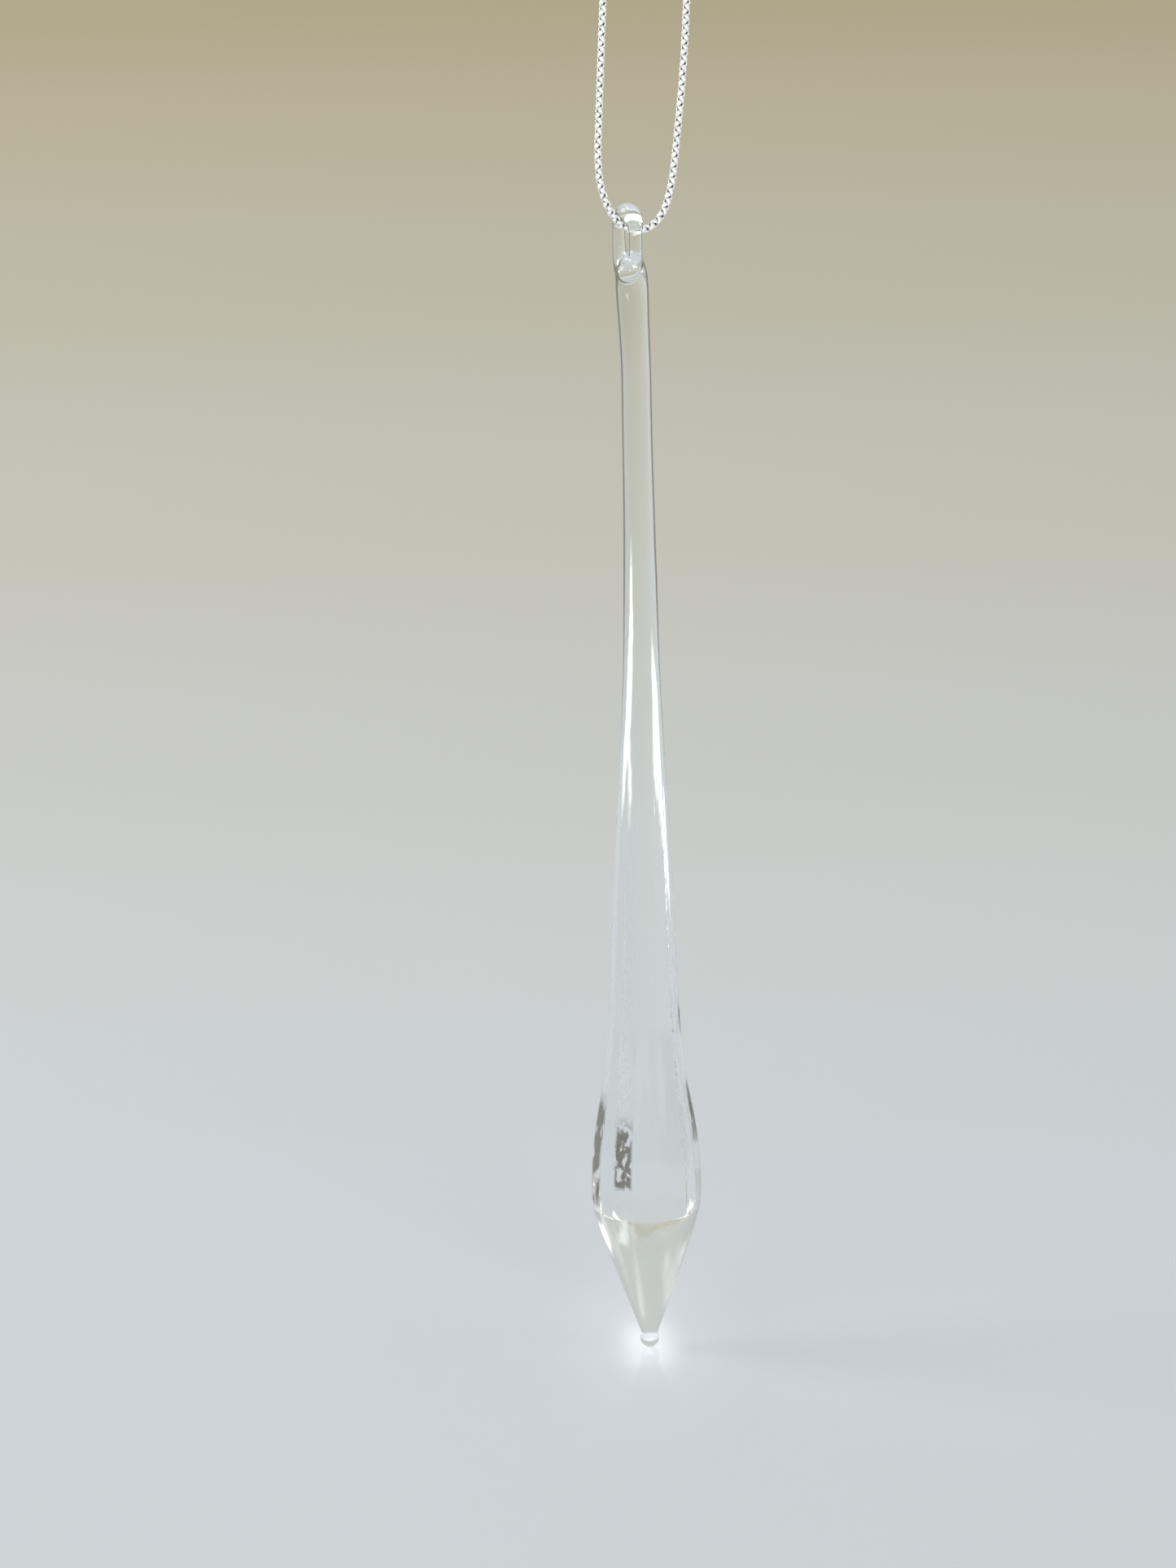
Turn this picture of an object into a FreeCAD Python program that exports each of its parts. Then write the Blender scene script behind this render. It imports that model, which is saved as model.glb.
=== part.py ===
"""Icicle hanging ornament: a faceted clear-glass drop with a flame-worked eye, on a tied loop of braided cord.

The origin is the hanging point, inside the top of the cord loop and just under its knot. +Z is up, +X runs
along the cord where it passes through the eye, and the eye's two limbs stand one behind the other along Y.
Every size is in millimetres.
"""

import FreeCAD, Part
import math
import os
import Sketcher
from FreeCAD import Vector

# The drop's outline, as control points of its curve: depth under the cord's bend in the eye, and radius.
OUTLINE = {
    "crest": (4.9, 0.0),
    "crown": (4.9, 1.5),
    "collar": (6.2, 2.0),
    "throat": (9.0, 2.05),
    "neck": (14.0, 1.84),
    "reed": (24.0, 1.87),
    "stem": (36.0, 1.93),
    "root": (48.0, 2.16),
    "waist": (57.0, 2.24),
    "flare": (67.0, 2.72),
    "taper": (80.0, 3.48),
    "swell": (92.0, 4.03),
    "thigh": (102.0, 4.42),
    "knee": (109.5, 4.95),
    "calf": (115.5, 6.15),
    "belly": (121.5, 6.98),
    "shoulder": (127.8, 7.05),
}

# One long flat, in the same way: depth, and distance from the axis. Both its ends run out of the round glass.
FLAT = {
    "cut_start": (46.0, 2.6),
    "cut_lead": (56.0, 2.4),
    "cut_flare": (67.0, 2.6),
    "cut_taper": (80.0, 3.25),
    "cut_swell": (92.0, 3.78),
    "cut_thigh": (102.0, 4.14),
    "cut_knee": (109.5, 4.65),
    "cut_calf": (115.5, 5.77),
    "cut_belly": (121.5, 6.55),
    "cut_shoulder": (127.8, 6.62),
}

SIZES = {
    # glass below the shoulder, and the flats
    "point_depth": 144.8,
    "point_out": 1.0,
    "bead_radius": 1.2,
    "cut_end_depth": 133.5,
    "cut_end_out": 5.14,
    "cut_reach": 9.0,
    "flats": 8,
    "facet_turn": 38.5,
    # eye
    "bend_depth": 55.0,
    "thread_dia": 1.55,
    "eye_gap": 2.05,
    "eye_back": 0.9,
    "arch_drop": 0.5,
    "back_knee": 3.4,
    "back_foot": 7.0,
    "back_foot_in": 1.7,
    "front_foot": 6.6,
    "crown_rise": 1.78,
    "crown_long": 1.05,
    "crown_wide": 1.4,
    "crown_tall": 1.25,
    "press_left": 1.15,
    "press_front": 0.8,
    "press_depth": 5.3,
    "press_radius": 1.05,
    # cord
    "cord_dia": 1.0,
    "twist_depth": 44.0,
    "twist_gap": 0.3,
    "knot_rise": 4.6,
    "knot_wide": 2.1,
    "knot_deep": 1.7,
    "knot_tall": 2.3,
}

# The loop of cord, from the knot down the left strand, through the eye and up the right strand to the knot.
LOOP = [
    (-0.55, 0.0, 2.6),
    (-1.3, 0.0, -3.0),
    (-3.4, 0.15, -12.5),
    (-3.9, 0.4, -24.5),
    (-4.45, 0.7, -37.8),
    (-4.9, 0.85, -47.5),
    (-3.3, 0.9, -52.4),
    (-0.6, 0.9, -55.35),
    (2.3, 0.9, -56.0),
    (4.9, 0.9, -54.7),
    (6.4, 0.9, -51.0),
    (7.3, 0.85, -44.5),
    (8.3, 0.65, -35.5),
    (8.9, 0.4, -24.0),
    (7.6, 0.15, -12.5),
    (3.6, 0.0, -3.6),
    (0.55, 0.0, 2.6),
]

# The two cut ends above the knot.
TAILS = [
    [(-0.5, 0.1, 6.5), (-0.8, 0.1, 9.3), (-2.1, -0.2, 12.0), (-2.6, -0.6, 14.8)],
    [(0.6, -0.1, 6.5), (1.1, 0.0, 9.0), (2.7, 0.3, 11.0), (4.0, 0.5, 13.2)],
]

CUTTER = 80.0  # side of the boxes that part the cord above and below the twist

doc = FreeCAD.newDocument("icicle")
sheet = doc.addObject("Spreadsheet::Sheet", "Sizes")


def fill_sheet():
    """One named cell for each driving dimension."""
    cells = dict(SIZES)
    for name, (depth, radius) in {**OUTLINE, **FLAT}.items():
        cells[name + "_depth"] = depth
        cells[name + "_out"] = radius
    for row, (alias, value) in enumerate(cells.items(), 1):
        sheet.set(f"A{row}", alias)
        sheet.set(f"B{row}", str(value))
        sheet.setAlias(f"B{row}", alias)
    doc.recompute()


def bind(thing, **links):
    """Ties properties to expressions of the sheet's names. A double underscore stands for a dot."""
    for path, expression in links.items():
        thing.setExpression(path.replace("__", "."), expression)
    return thing


def boolean(kind, name, base, tool):
    """Part::Common, Part::Cut or Part::Fuse of two objects."""
    made = doc.addObject("Part::" + kind, name)
    made.Base = base
    made.Tool = tool
    return made


def plane(body, role):
    return next(item for item in body.Origin.OriginFeatures if item.Role == role)


def sketch_on(body, name, role):
    made = body.newObject("Sketcher::SketchObject", name)
    made.AttachmentSupport = [(plane(body, role), "")]
    made.MapMode = "FlatFace"
    return made


def measure(sketch, name, kind, *where):
    """A dimension of the sketch, held to a sheet expression that comes last in where."""
    *ends, expression = where
    value = float(sketch.evalExpression(expression))
    index = sketch.addConstraint(Sketcher.Constraint(kind, *ends, value))
    sketch.renameConstraint(index, name)
    sketch.setExpression("Constraints." + name, expression)


def level(name):
    """The sheet expression for how far a named depth lies under the origin."""
    return f"Sizes.bend_depth + Sizes.{name}_depth"


def place(name):
    """Where a named point of the glass lies in an XZ sketch."""
    return Vector(getattr(sheet, name + "_out"), -sheet.bend_depth - getattr(sheet, name + "_depth"), 0)


def pin(sketch, geometry, end, name):
    """Holds a point of the sketch to its named depth and distance from the axis."""
    if getattr(sheet, name + "_out"):
        measure(sketch, name + "_x", "DistanceX", -1, 1, geometry, end, f"Sizes.{name}_out")
    else:
        sketch.addConstraint(Sketcher.Constraint("PointOnObject", geometry, end, -2))
    measure(sketch, name + "_z", "DistanceY", geometry, end, -1, 1, level(name))


def curve(sketch, names):
    """A smooth clamped cubic whose control points are the named ones. Returns its geometry index."""
    inner = len(names) - 4
    spline = Part.BSplineCurve()
    multiplicities = [4] + [1] * inner + [4]
    points = [place(name) for name in names]
    spline.buildFromPolesMultsKnots(points, multiplicities, list(range(inner + 2)), False, 3)
    index = sketch.addGeometry(spline)
    for order, name in enumerate(names):
        knob = sketch.addGeometry(Part.Circle(place(name), Vector(0, 0, 1), 0.5), True)
        if order:
            sketch.addConstraint(Sketcher.Constraint("Equal", index + 1, knob))
        else:
            sketch.addConstraint(Sketcher.Constraint("Weight", knob, 1.0))
        kind = "InternalAlignment:Sketcher::BSplineControlPoint"
        sketch.addConstraint(Sketcher.Constraint(kind, knob, 3, index, order))
        pin(sketch, knob, 3, name)
    return index


def chain(sketch, start, start_end, corners, finish):
    """Straight lines from one point of the sketch through corners to another, joined end to end."""
    last, last_end = start, start_end
    for corner in [*corners, finish]:
        begin = sketch.getPoint(last, last_end)
        end = corner if isinstance(corner, Vector) else sketch.getPoint(*corner)
        line = sketch.addGeometry(Part.LineSegment(begin, end))
        sketch.addConstraint(Sketcher.Constraint("Coincident", last, last_end, line, 1))
        last, last_end = line, 2
    sketch.addConstraint(Sketcher.Constraint("Coincident", last, 2, *finish))
    return last


def glass_drop():
    """Stem and body of the icicle: a round draw with a pointed cone, then eight long flats cut round it."""
    body = doc.addObject("PartDesign::Body", "DropGlass")
    outline = sketch_on(body, "DropOutline", "XZ_Plane")
    edge = curve(outline, list(OUTLINE))
    foot = Vector(0, place("point").y, 0)
    axis = chain(outline, edge, 2, [place("point"), foot], (edge, 1))
    pin(outline, axis - 1, 1, "point")
    outline.addConstraint(Sketcher.Constraint("Horizontal", axis - 1))
    outline.addConstraint(Sketcher.Constraint("PointOnObject", axis, 1, -2))
    draw = body.newObject("PartDesign::Revolution", "Draw")
    draw.Profile = outline
    draw.ReferenceAxis = (outline, ["V_Axis"])
    draw.Angle = 360

    flat = sketch_on(body, "FlatOutline", "XZ_Plane")
    edge = curve(flat, list(FLAT))
    reach = sheet.cut_reach
    outer = [Vector(reach, place("cut_end").y, 0), Vector(reach, place("cut_start").y, 0)]
    last = chain(flat, edge, 2, [place("cut_end"), *outer], (edge, 1))
    pin(flat, last - 3, 2, "cut_end")
    for line in (last - 2, last):
        flat.addConstraint(Sketcher.Constraint("Horizontal", line))
    flat.addConstraint(Sketcher.Constraint("Vertical", last - 1))
    measure(flat, "reach", "DistanceX", -1, 1, last - 1, 1, "Sizes.cut_reach")
    doc.recompute()
    whole = body.Shape.Volume
    cut = body.newObject("PartDesign::Pocket", "Flat")
    cut.Profile = flat
    cut.Midplane = True
    bind(cut, Length="2 * Sizes.cut_reach")
    doc.recompute()
    round_cut = body.newObject("PartDesign::PolarPattern", "Flats")
    round_cut.Originals = [cut]
    round_cut.Axis = (flat, ["V_Axis"])
    round_cut.Angle = 360
    bind(round_cut, Occurrences="Sizes.flats")
    body.Tip = round_cut
    doc.recompute()
    print(f"flats take {whole - body.Shape.Volume:.1f} of {whole:.1f} mm3 of glass")
    return bind(body, Placement__Rotation__Angle="Sizes.facet_turn")


def eye_route(body):
    """The bent thread of glass in the YZ plane: up the back limb, over the arch and down the front limb."""
    route = sketch_on(body, "EyeRoute", "YZ_Plane")
    back, front, top = 2.7, -0.9, -55.5
    corners = [Vector(1.0, -62.0), Vector(back, -58.4), Vector(back, top)]
    for start, end in zip(corners, corners[1:]):
        route.addGeometry(Part.LineSegment(start, end))
    middle = Vector((back + front) / 2, top)
    arc = Part.Circle(middle, Vector(0, 0, 1), (back - front) / 2)
    route.addGeometry(Part.ArcOfCircle(arc, 0, math.pi))
    route.addGeometry(Part.LineSegment(Vector(front, top), Vector(front, -61.6)))
    route.addConstraint(Sketcher.Constraint("Coincident", 0, 2, 1, 1))
    route.addConstraint(Sketcher.Constraint("Tangent", 1, 2, 2, 1))
    route.addConstraint(Sketcher.Constraint("Tangent", 2, 2, 3, 1))
    route.addConstraint(Sketcher.Constraint("Vertical", 1))
    route.addConstraint(Sketcher.Constraint("Vertical", 3))
    measure(route, "arch_radius", "Radius", 2, "(Sizes.eye_gap + Sizes.thread_dia) / 2")
    measure(route, "arch_y", "DistanceX", -1, 1, 2, 3, "Sizes.eye_back")
    measure(route, "arch_z", "DistanceY", 2, 3, -1, 1, "Sizes.bend_depth + Sizes.arch_drop")
    measure(route, "knee_z", "DistanceY", 0, 2, -1, 1, "Sizes.bend_depth + Sizes.back_knee")
    measure(route, "foot_in", "DistanceX", 0, 1, 0, 2, "Sizes.back_foot_in")
    measure(route, "foot_z", "DistanceY", 0, 1, -1, 1, "Sizes.bend_depth + Sizes.back_foot")
    measure(route, "front_z", "DistanceY", 3, 2, -1, 1, "Sizes.bend_depth + Sizes.front_foot")
    return route


def eye_thread(body):
    """The thread's round section, across the front limb's foot."""
    section = sketch_on(body, "EyeSection", "XY_Plane")
    section.setExpression("AttachmentOffset.Base.z", "-Sizes.bend_depth - Sizes.front_foot")
    section.addGeometry(Part.Circle(Vector(0, -0.9, 0), Vector(0, 0, 1), 0.7))
    section.addConstraint(Sketcher.Constraint("PointOnObject", 0, 3, -2))
    measure(section, "thread_dia", "Diameter", 0, "Sizes.thread_dia")
    limb = "Sizes.eye_gap / 2 + Sizes.thread_dia / 2 - Sizes.eye_back"
    measure(section, "limb_y", "DistanceY", 0, 3, -1, 1, limb)
    return section


def ellipsoid(body, name, half_x, half_y, half_z, x, y, z):
    """A soft lump of glass of those half sizes, centred at x, y and z. It's turned about Z only."""
    made = body.newObject("PartDesign::AdditiveEllipsoid", name)
    made.AttachmentSupport = [(plane(body, "XY_Plane"), "")]
    made.MapMode = "FlatFace"
    bind(made, Radius1=half_z, Radius2=half_x, Radius3=half_y)
    for axis, place in zip("xyz", (x, y, z)):
        made.setExpression(f"AttachmentOffset.Base.{axis}", place)
    return made


def hanging_eye(drop):
    """The drawn end of the stem, bent over the cord and pressed back on to the stem beside its own root."""
    body = doc.addObject("PartDesign::Body", "EyeGlass")
    thread = eye_thread(body)
    bend = body.newObject("PartDesign::AdditivePipe", "EyeBend")
    bend.Profile = thread
    bend.Spine = (eye_route(body), ["Edge4", "Edge3", "Edge2", "Edge1"])
    bend.Transition = "Round corner"
    doc.recompute()
    crown = ("Sizes.crown_long", "Sizes.crown_wide", "Sizes.crown_tall")
    ellipsoid(body, "EyeCrown", *crown, "0", "Sizes.eye_back", "Sizes.crown_rise - Sizes.bend_depth")
    press = ["Sizes.press_radius"] * 3
    low = "-Sizes.bend_depth - Sizes.press_depth"
    ellipsoid(body, "EyePress", *press, "-Sizes.press_left", "-Sizes.press_front", low)
    return boolean("Cut", "Eye", body, drop)


def tip_bead(drop):
    """The fire-polished ball at the tip."""
    ball = doc.addObject("Part::Sphere", "Ball")
    rise = "sqrt(Sizes.bead_radius ^ 2 - Sizes.point_out ^ 2)"
    height = f"-Sizes.bend_depth - Sizes.point_depth - {rise}"
    bind(ball, Radius="Sizes.bead_radius", Placement__Base__z=height)
    return boolean("Cut", "Bead", ball, drop)


def rounded_path(points):
    """Straight runs joined by tangent arcs, each as large as its two runs allow. Returns the wire and radii."""
    points = [Vector(*point) for point in points]
    edges, radii, start = [], [], points[0]
    for before, corner, after in zip(points, points[1:], points[2:]):
        back, ahead = before - corner, after - corner
        turn = math.pi - back.getAngle(ahead)
        reach = 0.45 * min(back.Length, ahead.Length)
        radius = reach / math.tan(turn / 2)
        enter = corner + back.normalize() * reach
        leave = corner + ahead.normalize() * reach
        inward = (back + ahead).normalize()
        middle = corner + inward * (radius / math.cos(turn / 2) - radius)
        edges += [Part.LineSegment(start, enter).toShape(), Part.Arc(enter, middle, leave).toShape()]
        radii.append(radius)
        start = leave
    edges.append(Part.LineSegment(start, points[-1]).toShape())
    return Part.Wire(edges), radii


def tube(name, points):
    """A plain round cord along the route, checked against its section times its length."""
    radius = sheet.cord_dia / 2
    path, radii = rounded_path(points)
    away = path.Edges[0].tangentAt(path.Edges[0].FirstParameter)
    section = Part.Wire(Part.Circle(Vector(*points[0]), away, radius).toShape())
    solid = path.makePipeShell([section], True, False)
    made = doc.addObject("Part::Feature", name)
    made.Shape = solid
    wanted = math.pi * radius**2 * path.Length
    rounded = ", ".join(f"{r:.1f}" for r in radii)
    print(f"{name}: length {path.Length:.1f}, volume {solid.Volume:.2f} of {wanted:.2f}, radii {rounded}")
    return made


def box(name, x, z):
    """A tall box from x towards +X and from z upwards."""
    made = doc.addObject("Part::Box", name)
    made.Length = made.Width = made.Height = CUTTER
    made.Placement.Base.y = -CUTTER / 2
    return bind(made, Placement__Base__x=x, Placement__Base__z=z)


def cord_loop():
    """The loop's tube in three solids: two strands over the level where it twists, and the bend under it."""
    above = "-Sizes.twist_depth + Sizes.twist_gap / 2"
    below = f"-Sizes.twist_depth - Sizes.twist_gap / 2 - {CUTTER}"
    loop = tube("Loop", LOOP)
    left = boolean("Common", "LeftStrand", loop, box("LeftSide", f"-{CUTTER}", above))
    right = boolean("Common", "RightStrand", loop, box("RightSide", "0", above))
    bend = boolean("Common", "Bight", loop, box("Under", f"-{CUTTER / 2}", below))
    return {"cord_left_strand": left, "cord_right_strand": right, "cord_bight": bend}


def cord_knot():
    """The overhand knot that both ends share, as its plain outer shape."""
    made = doc.addObject("Part::Ellipsoid", "Knot")
    bind(made, Radius1="Sizes.knot_tall", Radius2="Sizes.knot_wide", Radius3="Sizes.knot_deep")
    return bind(made, Placement__Base__z="Sizes.knot_rise")


def clear_of(name, thing, other):
    """thing without what other already fills, so that the two meet face to face."""
    return boolean("Cut", name, thing, other)


def cord_tails(knot):
    tails = boolean("Fuse", "TailPair", tube("TailLeft", TAILS[0]), tube("TailRight", TAILS[1]))
    return clear_of("Tails", tails, knot)


def check(thing):
    """Stops on an object that failed, or on a piece with no sound shape."""
    if any(word in thing.State for word in ("Invalid", "Error")):
        raise RuntimeError(f"{thing.Name} failed: {thing.State}")


def write(pieces):
    doc.recompute()
    for thing in doc.Objects:
        check(thing)
    os.makedirs("parts", exist_ok=True)
    for node, thing in pieces.items():
        thing.Label = node
        shape = thing.Shape
        if shape.isNull() or not shape.isValid() or not shape.Solids:
            raise RuntimeError(f"{node} has no valid solid")
        around = shape.optimalBoundingBox(False)
        size = f"{around.XLength:.2f} x {around.YLength:.2f} x {around.ZLength:.2f}"
        span = f"z {around.ZMin:.2f} to {around.ZMax:.2f}"
        print(f"{node}: {len(shape.Solids)} solid, {shape.Volume:.2f} mm3, {size}, {span}")
        shape.exportStep(f"parts/{node}.step")


fill_sheet()
drop = glass_drop()
knot = cord_knot()
strands = cord_loop()
for node in ("cord_left_strand", "cord_right_strand"):
    strands[node] = clear_of(node.title().replace("_", ""), strands[node], knot)
write(
    {
        "glass_drop": drop,
        "hanging_eye": hanging_eye(drop),
        "tip_bead": tip_bead(drop),
        "cord_knot": knot,
        "cord_tails": cord_tails(knot),
        **strands,
    }
)
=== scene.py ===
"""Icicle hanging ornament: looks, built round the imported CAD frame.

Lengths in this file are millimetres, turned to metres by MM when they go to Blender. Depths run down the glass
from the cord's bend in the eye, as in the CAD model.
"""

import math

import bmesh
import bpy
import numpy as np
from mathutils import Matrix, Vector


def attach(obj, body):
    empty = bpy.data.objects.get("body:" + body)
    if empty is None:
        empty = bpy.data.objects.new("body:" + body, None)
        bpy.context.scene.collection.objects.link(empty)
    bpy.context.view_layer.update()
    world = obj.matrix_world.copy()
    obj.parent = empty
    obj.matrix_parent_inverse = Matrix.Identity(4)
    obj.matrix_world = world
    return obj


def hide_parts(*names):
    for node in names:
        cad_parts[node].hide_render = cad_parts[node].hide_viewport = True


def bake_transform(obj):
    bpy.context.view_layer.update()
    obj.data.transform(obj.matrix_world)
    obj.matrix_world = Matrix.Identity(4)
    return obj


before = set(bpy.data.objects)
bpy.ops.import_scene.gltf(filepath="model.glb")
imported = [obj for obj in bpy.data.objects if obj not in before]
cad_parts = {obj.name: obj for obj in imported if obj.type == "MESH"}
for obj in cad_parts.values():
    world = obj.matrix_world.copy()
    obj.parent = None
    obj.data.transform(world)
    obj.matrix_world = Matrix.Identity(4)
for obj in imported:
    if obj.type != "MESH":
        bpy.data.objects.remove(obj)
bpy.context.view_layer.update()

MM = 0.001

# ---------------------------------------------------------------- driving dimensions

BEND_Z = -55.0  # height of the cord's bend in the eye, from which depths are counted
FACETS = 8
FACET_TURN = math.radians(16.0)
CORD_DIAMETER = 1.0

OUTLINE = [
    (4.9, 0.0),
    (4.9, 1.5),
    (6.2, 2.0),
    (9.0, 2.05),
    (14.0, 1.84),
    (24.0, 1.87),
    (36.0, 1.93),
    (48.0, 2.16),
    (57.0, 2.24),
    (67.0, 2.72),
    (80.0, 3.48),
    (92.0, 4.03),
    (102.0, 4.42),
    (109.5, 4.95),
    (115.5, 6.15),
    (121.5, 6.98),
    (127.8, 7.05),
]
FLAT = [
    (46.0, 2.6),
    (56.0, 2.4),
    (67.0, 2.6),
    (80.0, 3.25),
    (92.0, 3.78),
    (102.0, 4.14),
    (109.5, 4.65),
    (115.5, 5.77),
    (121.5, 6.55),
    (127.8, 6.62),
]
FLAT_END = (133.5, 5.14)
FLAT_FADE = (144.8, 2.2)  # past their end the flats stand clear of the cone, so that they fade into it
POINT = (144.8, 1.0)
BEAD_RADIUS = 1.2
SEAM_DEPTH = 21.0  # the freely worked top of the glass meets the ruled body here
NECK_DEPTH = 143.4  # the rings follow the neck and the bead from here down

LOOP = [
    (-0.55, 0.0, 2.6),
    (-1.3, 0.0, -3.0),
    (-3.4, 0.15, -12.5),
    (-3.9, 0.4, -24.5),
    (-4.45, 0.7, -37.8),
    (-4.9, 0.85, -47.5),
    (-3.3, 0.9, -52.4),
    (-0.6, 0.9, -55.35),
    (2.3, 0.9, -56.0),
    (4.9, 0.9, -54.7),
    (6.4, 0.9, -51.0),
    (7.3, 0.85, -44.5),
    (8.3, 0.65, -35.5),
    (8.9, 0.4, -24.0),
    (7.6, 0.15, -12.5),
    (3.6, 0.0, -3.6),
    (0.55, 0.0, 2.6),
]
TAILS = [
    [(-0.5, 0.1, 6.5), (-0.8, 0.1, 9.3), (-2.1, -0.2, 12.0), (-2.6, -0.6, 14.8)],
    [(0.6, -0.1, 6.5), (1.1, 0.0, 9.0), (2.7, 0.3, 11.0), (4.0, 0.5, 13.2)],
]

# ---------------------------------------------------------------- camera

AZIMUTH = math.radians(-35.0)
ELEVATION = math.radians(18.0)
ROLL = math.radians(-0.86)
DISTANCE = 2000.0
VIEW_HEIGHT = 195.5  # of the plane through the object that fills the frame
AIM_DEPTH = 72.0
AIM_SIDE = -6.73


def add_camera():
    """The view from the left of the front, a little above, and from far enough to be nearly flat."""
    back = Vector(
        (
            math.sin(AZIMUTH) * math.cos(ELEVATION),
            -math.cos(AZIMUTH) * math.cos(ELEVATION),
            math.sin(ELEVATION),
        )
    )
    right = Vector((math.cos(AZIMUTH), math.sin(AZIMUTH), 0.0))
    up = back.cross(right)
    aim = Vector((0.0, 0.0, BEND_Z - AIM_DEPTH)) + right * AIM_SIDE
    data = bpy.data.cameras.new("camera")
    data.sensor_fit = "VERTICAL"
    data.sensor_height = 36.0
    data.lens = 36.0 * DISTANCE / VIEW_HEIGHT
    data.clip_start = 0.01
    camera = bpy.data.objects.new("camera", data)
    turn = Matrix((right, up, back)).transposed().to_4x4() @ Matrix.Rotation(ROLL, 4, "Z")
    camera.matrix_world = Matrix.Translation((aim + back * DISTANCE) * MM) @ turn
    bpy.context.scene.collection.objects.link(camera)
    bpy.context.scene.camera = camera


add_camera()

# ---------------------------------------------------------------- helpers


def spline(points, count):
    """count points on the clamped cubic whose control points are given."""
    points = np.asarray(points, float)
    last = len(points) - 3
    knots = np.concatenate([[0.0] * 3, np.arange(last + 1), [last] * 3])
    t = np.linspace(0.0, last, count)
    span = np.minimum(t.astype(int), last - 1) + 3
    work = [points[span - 3 + j] for j in range(4)]
    for level in range(1, 4):
        for j in range(3, level - 1, -1):
            low = knots[span - 3 + j]
            high = knots[span + 1 + j - level]
            share = ((t - low) / (high - low))[:, None]
            work[j] = (1 - share) * work[j - 1] + share * work[j]
    return work[3]


def smooth(low, high, value):
    """0 below low, 1 above high, and eased between."""
    share = np.clip((value - low) / (high - low), 0.0, 1.0)
    return share * share * (3 - 2 * share)


def resample(points, step):
    """The same line with points one step apart."""
    lengths = np.concatenate([[0], np.cumsum(np.linalg.norm(np.diff(points, axis=0), axis=1))])
    count = max(2, int(round(lengths[-1] / step)) + 1)
    at = np.linspace(0, lengths[-1], count)
    return np.stack([np.interp(at, lengths, points[:, axis]) for axis in range(3)], 1), at


def new_mesh(name, points, faces, shaded=True):
    """A mesh object from points in millimetres, in the scene."""
    mesh = bpy.data.meshes.new(name)
    mesh.from_pydata([tuple(p) for p in np.asarray(points) * MM], [], faces)
    if shaded:
        mesh.polygons.foreach_set("use_smooth", [True] * len(mesh.polygons))
    mesh.update()
    made = bpy.data.objects.new(name, mesh)
    bpy.context.scene.collection.objects.link(made)
    return made


def ring_faces(rings, around, first=0):
    """Quads between successive closed rings of vertices."""
    faces = []
    for i in range(rings - 1):
        a = first + i * around
        for j in range(around):
            k = (j + 1) % around
            faces.append((a + j, a + k, a + around + k, a + around + j))
    return faces


# ---------------------------------------------------------------- cord

LAY = 2.6  # along the cord for one turn of a yarn
YARN_RING = 10
STEPS_PER_LAY = 22


def frames_along(points):
    """Tangent, side and up vectors that turn as little as they can along the line."""
    tangents = np.gradient(points, axis=0)
    tangents /= np.linalg.norm(tangents, axis=1)[:, None]
    side = np.cross(tangents[0], (0.0, 1.0, 0.0))
    side /= np.linalg.norm(side)
    sides = [side]
    for tangent in tangents[1:]:
        side = side - tangent * side.dot(tangent)
        side /= np.linalg.norm(side)
        sides.append(side)
    sides = np.array(sides)
    return tangents, sides, np.cross(tangents, sides)


def braid(points, fray_from=None, phase=0.0):
    """Points and faces of a round four-yarn plait along a line, and each corner's length and way round.

    Two yarns wind each way, and each passes over and under the others in turn. Past fray_from the plait opens.
    """
    line, along = resample(points, LAY / STEPS_PER_LAY)
    _, sides, ups = frames_along(line)
    turns = along / LAY + phase
    loose = np.zeros(len(along))
    if fray_from is not None:
        loose = smooth(fray_from, along[-1], along)
    verts, faces, uvs, crests = [], [], [], []
    for yarn in range(4):
        way = 1 if yarn < 2 else -1
        angle = way * 2 * math.pi * turns + math.pi * (yarn % 2) + loose * 0.35 * (yarn - 1.5)
        weave = np.tanh(1.8 * np.cos(4 * math.pi * turns)) / math.tanh(1.8)
        out = 0.235 + way * 0.12 * weave * (1 - loose) + 0.42 * loose
        radial = np.cos(angle)[:, None] * sides + np.sin(angle)[:, None] * ups
        middle = line + radial * out[:, None]
        tangents = np.gradient(middle, axis=0)
        tangents /= np.linalg.norm(tangents, axis=1)[:, None]
        wide = np.cross(tangents, radial)
        wide /= np.linalg.norm(wide, axis=1)[:, None]
        high = np.cross(wide, tangents)
        swell = 1 + 0.05 * np.sin(2 * math.pi * turns * 1.7 + yarn * 2.1)
        first = len(verts)
        for i in range(len(line)):
            for j in range(YARN_RING):
                around = 2 * math.pi * j / YARN_RING
                spread = wide[i] * math.cos(around) * 0.25 + high[i] * math.sin(around) * 0.15
                verts.append(middle[i] + spread * swell[i])
                uvs.append((along[i] + yarn * 31.7, j / YARN_RING))
                crests.append(np.linalg.norm(verts[-1] - line[i]) / (CORD_DIAMETER / 2))
        faces += ring_faces(len(line), YARN_RING, first)
        faces.append(tuple(first + j for j in reversed(range(YARN_RING))))
        last = first + (len(line) - 1) * YARN_RING
        faces.append(tuple(last + j for j in range(YARN_RING)))
    return verts, faces, uvs, crests


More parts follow.
